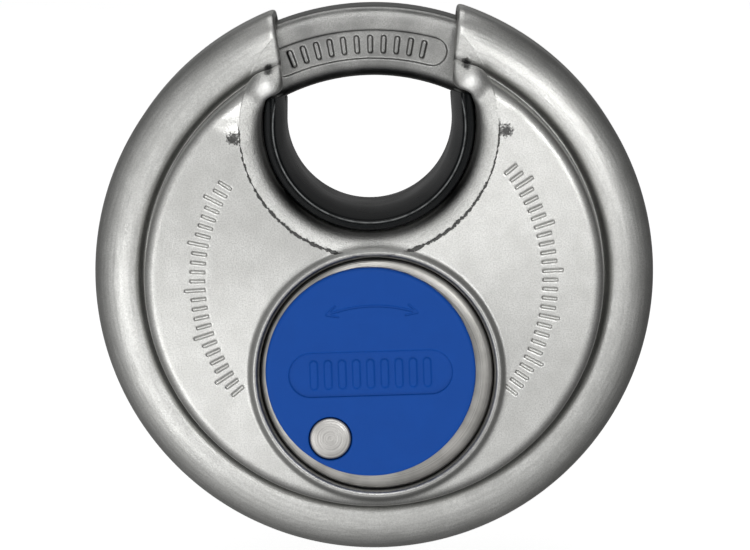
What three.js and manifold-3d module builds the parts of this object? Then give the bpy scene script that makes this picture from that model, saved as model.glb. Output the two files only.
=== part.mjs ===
// A 60 mm disc padlock: two stainless shells round a swinging shackle, a pin cylinder and a
// swivelling keyway cover. Millimetres. The disc stands upright in the XZ plane, its front faces -Y
// and its shackle is at +Z. The origin is the centre of the flat rear face.
// A "height" in this file is a distance in front of the mid-plane of the disc, along -Y.
import * as THREE from "three";
import { mergeVertices } from "three/addons/utils/BufferGeometryUtils.js";
import Module from "manifold-3d";

const wasm = await Module();
wasm.setup();

// Disc and shells
const DISC_R = 30;
const FACE_H = 10.4; // height of the flat face
const RIM_H = 6.5; // height of the rim's crest
const GROOVE_H = 5.6; // height at the bottom of the groove between rim and face
const GROOVE_R = 24.65;
const SHEET = 1.0;
const GAP = 0.3; // between neighbouring pieces
const SEAM = 0.3; // between the two shells, at the weld line
const MID_Y = -FACE_H; // the mid-plane

// Window between the shackle and the body
const WINDOW_Z = 16.3;
const WINDOW_R = 11.32; // edge of the shells
const DISH_R = 13.75; // where the face starts to roll down towards the window
const DISH_H = 7.2; // where the rolled edge ends
// The side of each lug that faces the shackle, from above the disc down to the round window.
const LUG_SIDE = [
  [10.3, 32], [9.5, 26], [9.05, 22.3], [8.95, 21.2], [9.05, 20.5], [9.5, 20.05], [10.2, 19.85],
  [10.6, 19.65],
];
const THROAT_R = 8.9; // narrowest part of the liner
const LIP_R = 10.22; // crest of the liner's front and rear lips
const LIP_H = 9.8;
const LINER_TOP_Z = 19.75;
const HEM_R = 11.75; // hem of the liner, hidden under the edge of the shells
const HEM_H = 5.8;
const HEM_TOP_Z = 18.9;

// Shackle
const SHACKLE_IN = 21.2;
const SHACKLE_OUT = DISC_R - SHEET - GAP;
const SHACKLE_H = 4.3; // half its thickness
const SHACKLE_SWING = 70; // degrees
const OPEN_TIP = -28.3; // free end when open, degrees clockwise from the top
const SHACKLE_TAIL = 11; // degrees of bar beyond the cam notch
const PANEL_R = 24.65; // sunk panel on the front of the shackle
const PANEL_HALF = 1.5;
const PANEL_DEPTH = 0.3;
const PANEL_FROM = -21.5; // degrees clockwise from the top
const PANEL_TO = 16.5;

// Lock cylinder
const LOCK_Z = -10;
const COLLAR_R = 12.48; // hole in the front shell
const COLLAR_OUT = 13.5;
const COLLAR_H = 10.95;
const FLANGE_H = 10.6;
const BARREL_R = 8.8;
const BARREL_REAR = -5.6;
const SHOULDER_REAR = 7.4;
const PLUG_R = 6.5;
const GUARD_H = 1.2; // thickness of the hardened disc in front of the plug
const PLUG_TURN = 119; // degrees; 1.7 times the shackle's swing
const KEYWAY_W = 1.7;
const KEYWAY_TOP = 2.6; // above the plug's axis
const TOWER_TOP = 12.2; // above the plug's axis
const TOWER_HALF = 3.4;
const TOWER_FRONT = 7.0;
const PIN_COUNT = 5;
const PIN_PITCH = 2.4;
const PIN_FIRST_H = 5.0;
const PIN_R = 0.85;
const PIN_LOW = [1.0, 1.7, 0.7, 1.9, 1.3]; // where each key pin starts, above the plug's axis
const SHEAR = 6.25; // top of the key pins
const DRIVER_LOW = 7.05;
const DRIVER_TOP = 9.2;
const STRIP = 0.8; // thickness of the strip that closes the pin chambers

// Driver cam
const CAM_REAR = -8.4;
const CAM_FRONT = -6.4;
const TOOTH_HALF = 1.25;
const TOOTH_H = 3.6;
const COLUMN_IN = 10.9;
const COLUMN_OUT = 12.4;
const TAIL_SIDE = 5.0;

// Keyway cover and its rivet
const COVER_R = 11.12;
const COVER_X = -0.64;
const COVER_Z = -9.47;
const COVER_REAR = 11.25;
const COVER_FRONT = 12.6;
const RIVET_X = -5.12;
const RIVET_Z = -16.43;
const RIVET_HEAD_R = 2.1;
const RIVET_R = 1.4;

const BIG = 40; // reaches past everything
const RAD = Math.PI / 180;
const SWING_HALF = (SHACKLE_SWING / 2) * RAD;
const TURN_HALF = (PLUG_TURN / 2) * RAD;
// The tooth is as long as it has to be for the plug's turn to give the shackle's whole swing.
const TOOTH_REACH =
  (-LOCK_Z * Math.tan(SWING_HALF)) /
  (Math.sin(TURN_HALF) - Math.cos(TURN_HALF) * Math.tan(SWING_HALF));

// Geometry helpers --------------------------------------------------------------------------

// A closed geometry as a solid for joining and cutting.
function solid(geometry) {
  const bare = geometry.index ? geometry.toNonIndexed() : geometry.clone();
  bare.deleteAttribute("normal");
  bare.deleteAttribute("uv");
  const merged = mergeVertices(bare, 1e-4);
  return new wasm.Manifold(
    new wasm.Mesh({
      numProp: 3,
      vertProperties: merged.attributes.position.array,
      triVerts: new Uint32Array(merged.index.array),
    }),
  );
}

// A body of revolution round an axis along Y through (x, z), from [radius, height] points.
function turned(points, x = 0, z = 0, steps = 64) {
  const profile = points.map(([r, h]) => new THREE.Vector2(r, h));
  return new THREE.LatheGeometry(profile, steps).rotateX(Math.PI).translate(x, MID_Y, z);
}

// A flat shape in X and Z, from one height to another.
function plate(shape, low, high, curveSegments = 24) {
  const settings = { depth: high - low, bevelEnabled: false, curveSegments };
  return new THREE.ExtrudeGeometry(shape, settings).rotateX(Math.PI / 2).translate(0, MID_Y - low, 0);
}

function disc(radius, low, high, x = 0, z = 0, steps = 48) {
  const points = [[0, low], [radius, low], [radius, high], [0, high]];
  return turned(points, x, z, steps);
}

function block(x0, x1, z0, z1, low, high) {
  return new THREE.BoxGeometry(x1 - x0, high - low, z1 - z0).translate(
    (x0 + x1) / 2, MID_Y - (low + high) / 2, (z0 + z1) / 2);
}

// A round pin that stands along Z.
function upright(radius, h, low, high, steps = 12) {
  const geometry = new THREE.CylinderGeometry(radius, radius, high - low, steps);
  return geometry.rotateX(Math.PI / 2).translate(0, MID_Y - h, (low + high) / 2);
}

// Turns a geometry clockwise, as seen from the front, about an axis along Y through (0, z).
function clockwise(geometry, radians, z = 0) {
  return geometry.translate(0, 0, -z).rotateY(radians).translate(0, 0, z);
}

function cut(body, ...tools) {
  return tools.reduce((rest, tool) => rest.subtract(tool), body);
}

function join(body, ...others) {
  return others.reduce((whole, other) => whole.add(other), body);
}

// Materials ---------------------------------------------------------------------------------

function metal(color, roughness) {
  return new THREE.MeshStandardMaterial({ color, roughness, metalness: 1 });
}

function plastic(color, roughness) {
  return new THREE.MeshStandardMaterial({ color, roughness, metalness: 0 });
}

const group = new THREE.Group();

// A solid's surface as a geometry.
function geometryOf(body) {
  const got = body.getMesh();
  const position = new Float32Array(got.numVert * 3);
  for (let i = 0; i < got.numVert; i++)
    for (let k = 0; k < 3; k++) position[3 * i + k] = got.vertProperties[got.numProp * i + k];
  const geometry = new THREE.BufferGeometry();
  geometry.setAttribute("position", new THREE.BufferAttribute(position, 3));
  geometry.setIndex([...got.triVerts]);
  return geometry;
}

function add(name, body, material) {
  const geometry = geometryOf(body);
  geometry.computeVertexNormals();
  const mesh = new THREE.Mesh(geometry, material);
  mesh.name = name;
  group.add(mesh);
}

// Shells ------------------------------------------------------------------------------------

// The pressed outline of one shell, from the axis to the weld seam.
const OUTER = [
  [0, FACE_H], [22.85, FACE_H], [23.6, 10.2], [24.15, 9.65], [24.35, 8.9], [24.45, 6.3],
  [GROOVE_R, GROOVE_H], [25.45, 6.38], [26.2, RIM_H], [27.2, 6.4], [28.2, 6.05], [29.1, 5.4],
  [29.7, 4.6], [DISC_R, 3.4], [DISC_R, SEAM / 2],
];
const INNER = [
  [0, FACE_H - SHEET], [22.8, 9.4], [23.2, 9.1], [23.4, 8.4], [23.5, 5.4], [23.9, 4.8], [24.8, 4.65],
  [25.5, 5.2], [26.3, 5.5], [27.2, 5.4], [28.0, 5.1], [28.7, 4.3], [DISC_R - SHEET, 3.2],
  [DISC_R - SHEET, 0],
];
const DISC_STEPS = 56;
const SHACKLE_STEPS = 72;

// The rolled edge round the window: a quarter oval from the face down to the edge.
function rolledEdge(thickness) {
  const steps = 5;
  const across = DISH_R - WINDOW_R - thickness * 0.2;
  const down = FACE_H - DISH_H - thickness;
  const points = [];
  for (let i = 0; i <= steps; i++) {
    const a = ((i / steps) * Math.PI) / 2;
    points.push([WINDOW_R + thickness + across * (1 - Math.cos(a)), DISH_H + down * Math.sin(a)]);
  }
  return points;
}

function dish(thickness) {
  const edge = rolledEdge(thickness);
  const [rim, level] = edge.at(-1);
  return turned([[0, DISH_H], ...edge, [rim + 2, level + 0.4], [rim + 2, 14], [0, 14]], 0, WINDOW_Z, 44);
}

// The way through the shells: a round window that opens upwards between the two lugs. It can be
// drawn a little smaller all round. The lugs' corners slope, so there the sides move further in.
function windowOutline(less = 0) {
  const side = LUG_SIDE.map(([x, z]) => [x - 1.3 * less, z]);
  const shape = new THREE.Shape();
  const end = 16 * RAD;
  shape.moveTo(side[0][0], side[0][1]);
  for (const [x, z] of side) shape.lineTo(-x, z);
  shape.absarc(0, WINDOW_Z, WINDOW_R - less, Math.PI - end, 2 * Math.PI + end, false);
  for (const [x, z] of [...side].reverse()) shape.lineTo(x, z);
  return shape;
}

// One shell, drawn in front of the mid-plane.
function shell(...additions) {
  const outside = solid(turned([[0, SEAM / 2], ...[...OUTER].reverse()], 0, 0, DISC_STEPS));
  const inside = solid(turned([[0, -1], ...[...INNER].reverse()], 0, 0, DISC_STEPS));
  const body = join(cut(outside, solid(dish(0))), ...additions);
  const hollow = cut(inside, solid(dish(SHEET)));
  const way = solid(plate(windowOutline(), -1, 14, 48));
  return cut(body, hollow, way);
}

// The raised ring of sheet round the hole that the lock cylinder shows through.
function collar() {
  const points = [
    [COLLAR_R, FACE_H - SHEET], [COLLAR_OUT + 0.1, FACE_H - SHEET], [COLLAR_OUT + 0.1, FACE_H],
    [COLLAR_OUT - 0.1, COLLAR_H - 0.25], [13.0, COLLAR_H], [12.65, COLLAR_H - 0.15],
    [COLLAR_R, COLLAR_H - 0.5], [COLLAR_R, FACE_H - SHEET],
  ];
  return solid(turned(points, 0, LOCK_Z, 48));
}

function frontShell() {
  const hole = solid(disc(COLLAR_R, 5, 14, 0, LOCK_Z, 48));
  return cut(shell(collar()), hole);
}

// Turns a solid half a turn about the disc's upright axis, which swaps front and rear.
function faceRear(body) {
  return solid(geometryOf(body).translate(0, -MID_Y, 0).rotateZ(Math.PI).translate(0, MID_Y, 0));
}

// Shackle -----------------------------------------------------------------------------------

// A sector about (0, z) between two angles, clockwise from the top, in degrees.
function sector(z, radius, from, to) {
  const start = (90 - to) * RAD;
  const shape = new THREE.Shape();
  shape.moveTo(0, z);
  shape.lineTo(radius * Math.cos(start), z + radius * Math.sin(start));
  shape.absarc(0, z, radius, start, (90 - from) * RAD, false);
  shape.closePath();
  return shape;
}

// A band that follows the shackle, with round ends.
function panelOutline() {
  const [start, end] = [(90 - PANEL_TO) * RAD, (90 - PANEL_FROM) * RAD];
  const shape = new THREE.Shape();
  shape.absarc(0, 0, PANEL_R + PANEL_HALF, start, end, false);
  const at = (a) => [PANEL_R * Math.cos(a), PANEL_R * Math.sin(a)];
  shape.absarc(...at(end), PANEL_HALF, end, end + Math.PI, false);
  shape.absarc(0, 0, PANEL_R - PANEL_HALF, end, start, true);
  shape.absarc(...at(start), PANEL_HALF, start + Math.PI, start + 2 * Math.PI, false);
  return shape;
}

// The cam's tooth, pointing down from the plug's axis, grown by a margin on every side.
function toothOutline(margin) {
  const shape = new THREE.Shape();
  const half = TOOTH_HALF + margin;
  const tip = LOCK_Z - TOOTH_REACH;
  shape.moveTo(half, LOCK_Z - COLUMN_IN + margin);
  shape.lineTo(-half, LOCK_Z - COLUMN_IN + margin);
  shape.lineTo(-half, tip);
  shape.absarc(0, tip, half, Math.PI, 2 * Math.PI, false);
  shape.closePath();
  return shape;
}

// Everything that the tooth passes through, seen from the shackle, as the plug turns.
function notchTools() {
  const steps = 10;
  return Array.from({ length: steps + 1 }, (_, i) => {
    const t = i / steps;
    const tool = plate(toothOutline(0.35), -6, 6, 8);
    clockwise(tool, TURN_HALF * (1 - 2 * t), LOCK_Z);
    return solid(clockwise(tool, 2 * SWING_HALF * t));
  });
}

function shackle() {
  const [a, b, h] = [SHACKLE_IN, SHACKLE_OUT, SHACKLE_H];
  const half = [
    [a, 0], [a, h - 1.9], [a + 0.1, h - 1.3], [a + 0.4, h - 0.7], [a + 0.75, h - 0.3], [a + 1.15, h],
    [b - 0.7, h], [b - 0.2, h - 0.2], [b, h - 0.7],
  ];
  const profile = [...half, ...half.slice(1).reverse().map(([r, y]) => [r, -y])];
  const ring = solid(turned([...profile, profile[0]].reverse(), 0, 0, SHACKLE_STEPS));
  const closedTip = OPEN_TIP + SHACKLE_SWING;
  const tail = -180 + SHACKLE_SWING / 2 - SHACKLE_TAIL;
  const bar = ring.intersect(solid(plate(sector(0, BIG, tail, closedTip), -9, 9, 60)));
  return cut(bar, solid(plate(panelOutline(), h - PANEL_DEPTH, h + 2, 16)), ...notchTools());
}

// Window liner and inner frame --------------------------------------------------------------

// One side of a section through the liner: heights above and below the mid-plane are alike.
function bothSides(half) {
  return [...half, ...half.slice(1).reverse().map(([r, h]) => [r, -h])];
}

// A section in radius and height, swept round below the window's axis and straight up above it.
function swept(section, top) {
  const ring = solid(turned([...section, section[0]].reverse(), 0, WINDOW_Z, 56));
  const lower = cut(ring, solid(block(-BIG, BIG, WINDOW_Z, BIG, -BIG, BIG)));
  const shape = new THREE.Shape(section.map(([r, h]) => new THREE.Vector2(r, h)));
  const settings = { depth: top - WINDOW_Z, bevelEnabled: false };
  const side = () => new THREE.ExtrudeGeometry(shape, settings).translate(0, MID_Y, WINDOW_Z);
  return join(lower, solid(side()), solid(side().rotateZ(Math.PI).translate(0, 2 * MID_Y, 0)));
}

function liner() {
  const section = bothSides([
    [THROAT_R, 0], [THROAT_R, 3.0], [9.05, 5.2], [9.4, 7.3], [9.85, 9.0], [LIP_R, LIP_H],
    [10.6, 9.6], [WINDOW_R - GAP, 8.9],
  ]);
  const hem = bothSides([[LIP_R, 0], [LIP_R, HEM_H], [HEM_R, HEM_H]]);
  const inShells = solid(plate(windowOutline(GAP), -BIG, BIG, 48));
  const body = swept(section, LINER_TOP_Z).intersect(inShells);
  const channel = solid(disc(BIG, -SHACKLE_H - GAP, SHACKLE_H + GAP, 0, 0, 64));
  const core = solid(disc(SHACKLE_IN - GAP, -BIG, BIG, 0, 0, 64));
  return cut(join(body, swept(hem, HEM_TOP_Z)), cut(channel, core));
}

// The die-cast frame inside the shells: it guides the shackle and seats the lock cylinder.
function innerFrame() {
  const low = -5.4;
  const high = SHOULDER_REAR - 0.5;
  const body = solid(disc(SHACKLE_IN - 0.4, low, high, 0, 0, 64));
  const side = HEM_R + GAP;
  const way = solid(disc(side, -BIG, BIG, 0, WINDOW_Z, 48));
  const above = solid(block(-side, side, WINDOW_Z, BIG, -BIG, BIG));
  const roll = solid(disc(DISH_R + 0.9, DISH_H - 1.2, 20, 0, WINDOW_Z, 48));
  const barrel = solid(disc(BARREL_R + 0.4, -20, 20, 0, LOCK_Z, 40));
  const towerSide = TOWER_HALF + 0.5;
  const tower = solid(block(-towerSide, towerSide, LOCK_Z, LOCK_Z + TOWER_TOP + 0.5, -20, 20));
  const reach = TOOTH_REACH + TOOTH_HALF + 0.5;
  const spread = PLUG_TURN / 2 + 12;
  const sweep = sector(LOCK_Z, reach, 180 - spread, 180 + spread);
  return cut(body, way, above, roll, barrel, tower, solid(plate(sweep, -20, 20, 32)));
}

// Lock cylinder -----------------------------------------------------------------------------

function pinHeight(i) {
  return PIN_FIRST_H - i * PIN_PITCH;
}

function housing() {
  const flange = [
    [0, SHOULDER_REAR + 0.4], [COLLAR_R - GAP, SHOULDER_REAR + 0.4], [COLLAR_R - GAP, FLANGE_H - 0.6],
    [COVER_R + 0.2, FLANGE_H], [0, FLANGE_H],
  ];
  const wide = solid(disc(COLLAR_R + 1, SHOULDER_REAR, FACE_H - SHEET - GAP, 0, LOCK_Z, 56));
  const pan = solid(disc(22.4, 0, 20, 0, 0, 64));
  const roll = solid(disc(DISH_R + 0.9, -20, 20, 0, WINDOW_Z, 48));
  const shoulder = cut(wide.intersect(pan), roll);
  const barrel = solid(disc(BARREL_R, BARREL_REAR, SHOULDER_REAR + 0.2, 0, LOCK_Z, 40));
  const tower = solid(
    block(-TOWER_HALF, TOWER_HALF, LOCK_Z + 4, LOCK_Z + TOWER_TOP, BARREL_REAR, TOWER_FRONT));
  const bore = solid(disc(PLUG_R + GAP, BARREL_REAR - 1, FLANGE_H + 1, 0, LOCK_Z, 40));
  const chambers = Array.from({ length: PIN_COUNT }, (_, i) =>
    solid(upright(PIN_R + GAP, pinHeight(i), LOCK_Z, LOCK_Z + TOWER_TOP + 1)));
  const stripSeat = solid(block(
    -1.9, 1.9, LOCK_Z + TOWER_TOP - STRIP, LOCK_Z + TOWER_TOP + 1,
    pinHeight(PIN_COUNT - 1) - 2, TOWER_FRONT + 1));
  const rivetHole = solid(disc(RIVET_R + GAP, SHOULDER_REAR - 1, FLANGE_H + 1, RIVET_X, RIVET_Z, 20));
  const body = join(solid(turned(flange, 0, LOCK_Z, 56)), shoulder, barrel, tower);
  return cut(body, bore, ...chambers, stripSeat, rivetHole);
}

function keyway(low, high) {
  const half = KEYWAY_W / 2;
  return solid(block(-half, half, LOCK_Z - 4.6, LOCK_Z + KEYWAY_TOP, low, high));
}

function plug() {
  const front = FLANGE_H - 0.1 - GUARD_H - GAP;
  const rear = BARREL_REAR + 0.1;
  const body = solid(disc(PLUG_R, rear, front, 0, LOCK_Z, 40));
  const half = TAIL_SIDE / 2;
  const tail = solid(block(-half, half, LOCK_Z - half, LOCK_Z + half, CAM_REAR, rear + 0.5));
  const stub = solid(disc(1.5, CAM_REAR - 0.7, CAM_REAR + 0.5, 0, LOCK_Z, 20));
  const bores = Array.from({ length: PIN_COUNT }, (_, i) =>
    solid(upright(PIN_R + GAP, pinHeight(i), LOCK_Z + 0.4, LOCK_Z + PLUG_R + 1)));
  const slot = keyway(pinHeight(PIN_COUNT - 1) - 1.6, front + 1);
  return cut(join(body, tail, stub), slot, ...bores);
}

function drillGuard() {
  const body = solid(disc(PLUG_R, FLANGE_H - 0.1 - GUARD_H, FLANGE_H - 0.1, 0, LOCK_Z, 40));
  return cut(body, keyway(0, 20));
}

// The cam's plate, its column beside the barrel, and the tooth that reaches into the shackle.
function driverCam() {
  const hub = solid(disc(4.6, CAM_REAR, CAM_FRONT, 0, LOCK_Z, 32));
  const side = TOOTH_HALF;
  const arm = solid(block(-side - 0.6, side + 0.6, LOCK_Z - COLUMN_OUT, LOCK_Z, CAM_REAR, CAM_FRONT));
  const column = solid(
    block(-side, side, LOCK_Z - COLUMN_OUT, LOCK_Z - COLUMN_IN, CAM_REAR, TOOTH_H));
  const tooth = solid(plate(toothOutline(0), -TOOTH_H, TOOTH_H, 8));
  const square = TAIL_SIDE / 2 + GAP;
  const hole = clockwise(
    block(-square, square, LOCK_Z - square, LOCK_Z + square, -20, 0), -TURN_HALF, LOCK_Z);
  const body = cut(join(hub, arm, column, tooth), solid(hole));
  return solid(clockwise(geometryOf(body), TURN_HALF, LOCK_Z));
}

function camClip() {
  const body = solid(disc(3.2, CAM_REAR - 0.65, CAM_REAR - GAP / 2, 0, LOCK_Z, 28));
  return cut(
    body, solid(disc(1.8, -20, 0, 0, LOCK_Z, 20)), solid(block(-1.2, 1.2, LOCK_Z, LOCK_Z + 6, -20, 0)));
}

// A coil spring that stands along Z.
function pinSpring(h, low, high) {
  const [turns, wire, radius] = [4, 0.16, 0.55];
  class Helix extends THREE.Curve {
    getPoint(t, target = new THREE.Vector3()) {
      const a = 2 * Math.PI * turns * t;
      const z = low + wire + (high - low - 2 * wire) * t;
      return target.set(radius * Math.cos(a), MID_Y - h + radius * Math.sin(a), z);
    }
  }
  const section = new THREE.Shape();
  section.absarc(0, 0, wire, 0, 2 * Math.PI, false);
  return new THREE.ExtrudeGeometry(section, {
    steps: turns * 7, curveSegments: 2, bevelEnabled: false, extrudePath: new Helix() });
}

// Keyway cover ------------------------------------------------------------------------------

function cover() {
  const bevel = 0.25;
  const points = [
    [0, COVER_REAR], [COVER_R - bevel, COVER_REAR], [COVER_R, COVER_REAR + bevel],
    [COVER_R, COVER_FRONT - bevel], [COVER_R - bevel, COVER_FRONT], [0, COVER_FRONT],
  ];
  const through = solid(disc(RIVET_R + GAP, 0, 20, RIVET_X, RIVET_Z, 24));
  const sink = solid(disc(RIVET_HEAD_R + GAP, COVER_FRONT - 0.7, 20, RIVET_X, RIVET_Z, 32));
  return cut(solid(turned(points, COVER_X, COVER_Z, 64)), through, sink);
}

function rivet() {
  const head = COVER_FRONT - 0.35;
  return solid(turned([
    [0, SHOULDER_REAR + 0.2], [RIVET_R, SHOULDER_REAR + 0.2], [RIVET_R, head], [RIVET_HEAD_R, head],
    [RIVET_HEAD_R, COVER_FRONT + 0.02], [RIVET_HEAD_R - 0.12, COVER_FRONT + 0.12], [0, COVER_FRONT + 0.12],
  ], RIVET_X, RIVET_Z, 28));
}

function waveWasher() {
  const ring = solid(disc(3.0, FLANGE_H + 0.15, COVER_REAR - 0.15, RIVET_X, RIVET_Z, 28));
  return cut(ring, solid(disc(RIVET_R + GAP, 0, 20, RIVET_X, RIVET_Z, 20)));
}

// Assembly ----------------------------------------------------------------------------------

const STAINLESS = metal(0xc9c9c6, 0.3);
const BAR_STEEL = metal(0xbdbdbb, 0.32);
const NICKEL = metal(0xa9a69f, 0.35);
const BRASS = metal(0xb89a55, 0.35);
const ZINC = metal(0x8f9194, 0.5);
const HARD_STEEL = metal(0x7c7d80, 0.4);
const SPRING_STEEL = metal(0x9a9ca0, 0.3);

add("front_shell", frontShell(), STAINLESS);
add("rear_shell", faceRear(shell()), STAINLESS);
add("window_liner", liner(), plastic(0x15171a, 0.35));
add("inner_frame", innerFrame(), ZINC);
add("shackle", shackle(), BAR_STEEL);
add("cylinder_housing", housing(), NICKEL);
add("plug", plug(), BRASS);
add("drill_guard", drillGuard(), HARD_STEEL);
add("driver_cam", driverCam(), HARD_STEEL);
add("cam_clip", camClip(), SPRING_STEEL);
for (let i = 0; i < PIN_COUNT; i++) {
  const h = pinHeight(i);
  const top = LOCK_Z + TOWER_TOP - STRIP - GAP;
  add(`key_pin_${i + 1}`, solid(upright(PIN_R, h, LOCK_Z + PIN_LOW[i], LOCK_Z + SHEAR)), BRASS);
  add(`driver_pin_${i + 1}`, solid(upright(PIN_R, h, LOCK_Z + DRIVER_LOW, LOCK_Z + DRIVER_TOP)), BRASS);
  add(`pin_spring_${i + 1}`, solid(pinSpring(h, LOCK_Z + DRIVER_TOP + 0.1, top)), SPRING_STEEL);
}
add("pin_cover_strip", solid(block(
  -1.6, 1.6, LOCK_Z + TOWER_TOP - STRIP + GAP / 2, LOCK_Z + TOWER_TOP,
  pinHeight(PIN_COUNT - 1) - 1.6, TOWER_FRONT - 0.2)), NICKEL);
add("keyway_cover", cover(), plastic(0x1b4b9b, 0.4));
add("cover_rivet", rivet(), metal(0xc9c4b6, 0.35));
add("wave_washer", waveWasher(), SPRING_STEEL);

export default group;
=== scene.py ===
"""The looks of a 60 mm disc padlock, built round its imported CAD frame.

Surfaces are drawn as signed distances in millimetres and contoured on curved grids. In this file a
"height" h is a distance in front of the mid-plane of the disc, so y = MID_Y - h.
"""
import math

import bmesh
import bpy
import numpy as np
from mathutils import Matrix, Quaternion, Vector

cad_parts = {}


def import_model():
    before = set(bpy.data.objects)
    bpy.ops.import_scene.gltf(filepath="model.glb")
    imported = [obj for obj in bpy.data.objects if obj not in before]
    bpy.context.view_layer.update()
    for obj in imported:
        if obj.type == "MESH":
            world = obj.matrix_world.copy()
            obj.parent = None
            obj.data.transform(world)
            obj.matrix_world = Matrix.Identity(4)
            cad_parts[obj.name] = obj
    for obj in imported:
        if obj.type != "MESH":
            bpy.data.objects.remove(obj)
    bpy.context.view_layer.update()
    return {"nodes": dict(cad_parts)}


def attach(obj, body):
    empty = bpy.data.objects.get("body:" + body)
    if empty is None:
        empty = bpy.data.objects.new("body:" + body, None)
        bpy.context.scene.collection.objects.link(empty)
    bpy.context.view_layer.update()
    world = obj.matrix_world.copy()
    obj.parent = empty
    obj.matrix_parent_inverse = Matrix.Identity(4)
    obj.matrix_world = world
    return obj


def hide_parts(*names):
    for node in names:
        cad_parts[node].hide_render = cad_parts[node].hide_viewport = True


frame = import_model()

MM = 0.001
GAP = 0.3  # between neighbouring pieces

DISC_R = 30.0
FACE_H = 10.4  # height of the flat face
MID_Y = -FACE_H
SHEET = 1.0  # thickness of the shells
SEAM = 0.06  # the weld line at the rim, as a fine gap between the shells
GROOVE_R = 24.85  # middle of the groove between the face and the rolled rim

WINDOW_Z = 16.3
WINDOW_R = 11.32  # edge of the shells
DISH_R = 13.75  # the fold where the face starts to roll down towards the window
LIP_R = 10.18  # crest of the liner's lip

FOLD_END = (14.4, 15.5)  # upper end of the fold, on either side
NOSE, NOSE_R = (10.9, 20.6, 8.6), 1.75  # the knob at the end of the face, at either lug
CREASE_END = (10.5, 22.5)  # where the groove ends in the crease above the nose
NECK_SINK = 0.7  # how far the face falls on its way to the nose

SHACKLE_H = 4.3  # half its thickness
BAR_IN, BAR_OUT = 21.2, 28.7  # radii of the shackle
PANEL_R, PANEL_HALF, PANEL_DEPTH = 24.65, 1.5, 0.3  # sunk panel on its front
PANEL_FROM, PANEL_TO = -21.5, 16.5  # degrees clockwise from the top

LOCK_Z = -10.0
COLLAR_R = 12.48  # hole in the front shell
PLUG_R = 6.5
COVER = (-0.64, -9.47, 11.12)  # centre x, centre z, radius
COVER_REAR, COVER_FRONT = 11.25, 12.6
RIVET = (-5.12, -16.43)
RIVET_R = 1.4

TICK_STEP = 3.0  # degrees between the engraved marks of the face
TICK_ARCS = ((51.0, 132.0), (231.0, 306.0))
TICK_R = 17.9  # inner end of the marks
CUT_DEPTH = 0.2  # of the marks

FLOOR_Z = -36.5  # just clear of the cover as it swings past the disc


# Signed distances ------------------------------------------------------------------------------


def smax(a, b, k):
    """The larger of two distances, rounded over a width k where they meet."""
    g = np.maximum(k - np.abs(a - b), 0) / k
    return np.maximum(a, b) + g * g * k / 4


def smin(a, b, k):
    """The smaller of two distances, rounded over a width k where they meet."""
    return -smax(-a, -b, k)


def step01(low, high, v):
    """A smooth step of v, from 0 at low to 1 at high."""
    t = np.clip((v - low) / (high - low), 0, 1)
    return t * t * (3 - 2 * t)


def spline(points, steps=8):
    """A centripetal curve through the points."""
    p = np.array(points, float)
    p = np.vstack([2 * p[0] - p[1], p, 2 * p[-1] - p[-2]])
    out = []
    for i in range(1, len(p) - 2):
        q = p[i - 1 : i + 3]
        t = np.concatenate([[0], np.cumsum(np.linalg.norm(np.diff(q, axis=0), axis=1) ** 0.5)])
        for s in np.linspace(t[1], t[2], steps, endpoint=False):
            a = [q[k] + (q[k + 1] - q[k]) * (s - t[k]) / (t[k + 1] - t[k]) for k in range(3)]
            b = [a[k] + (a[k + 1] - a[k]) * (s - t[k]) / (t[k + 2] - t[k]) for k in range(2)]
            out.append(b[0] + (b[1] - b[0]) * (s - t[1]) / (t[2] - t[1]))
    return [tuple(v) for v in out] + [tuple(p[-2])]


class Outline:
    """The signed distance to a closed flat outline, negative inside, read from a fine table.

    The table runs from the corner low to the corner high. Past it, its edge values go on.
    """

    def __init__(self, points, low, high, step=0.05):
        self.low, self.step = low, step
        u, v = (np.arange(low[k], high[k] + step, step)[:, None] for k in (0, 1))
        v = v.T
        best = np.full((u.size, v.size), 1e9)
        inside = np.zeros(best.shape, bool)
        for (ax, ay), (bx, by) in zip(points, [*points[1:], points[0]]):
            dx, dy = bx - ax, by - ay
            length2 = dx * dx + dy * dy
            if length2 < 1e-12:
                continue
            t = np.clip(((u - ax) * dx + (v - ay) * dy) / length2, 0, 1)
            best = np.minimum(best, (u - ax - t * dx) ** 2 + (v - ay - t * dy) ** 2)
            if ay != by:
                inside ^= ((v < ay) != (v < by)) & (u < ax + (v - ay) * dx / dy)
        self.table = np.where(inside, -1, 1) * np.sqrt(best)

    def __call__(self, u, v):
        t = self.table
        a = np.clip((u - self.low[0]) / self.step, 0, t.shape[0] - 1.001)
        b = np.clip((v - self.low[1]) / self.step, 0, t.shape[1] - 1.001)
        i, j = a.astype(np.int32), b.astype(np.int32)
        a, b = a - i, b - j
        return (t[i, j] * (1 - a) + t[i + 1, j] * a) * (1 - b) + (
            t[i, j + 1] * (1 - a) + t[i + 1, j + 1] * a
        ) * b


def arc(cx, cy, r, start, end, count):
    """Points on a circle between two angles in degrees, counter-clockwise from +x."""
    a = np.radians(np.linspace(start, end, count))
    return [(cx + r * math.cos(t), cy + r * math.sin(t)) for t in a]


# Contouring ------------------------------------------------------------------------------------

CORNERS = [(i, j, k) for i in (0, 1) for j in (0, 1) for k in (0, 1)]


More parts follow.
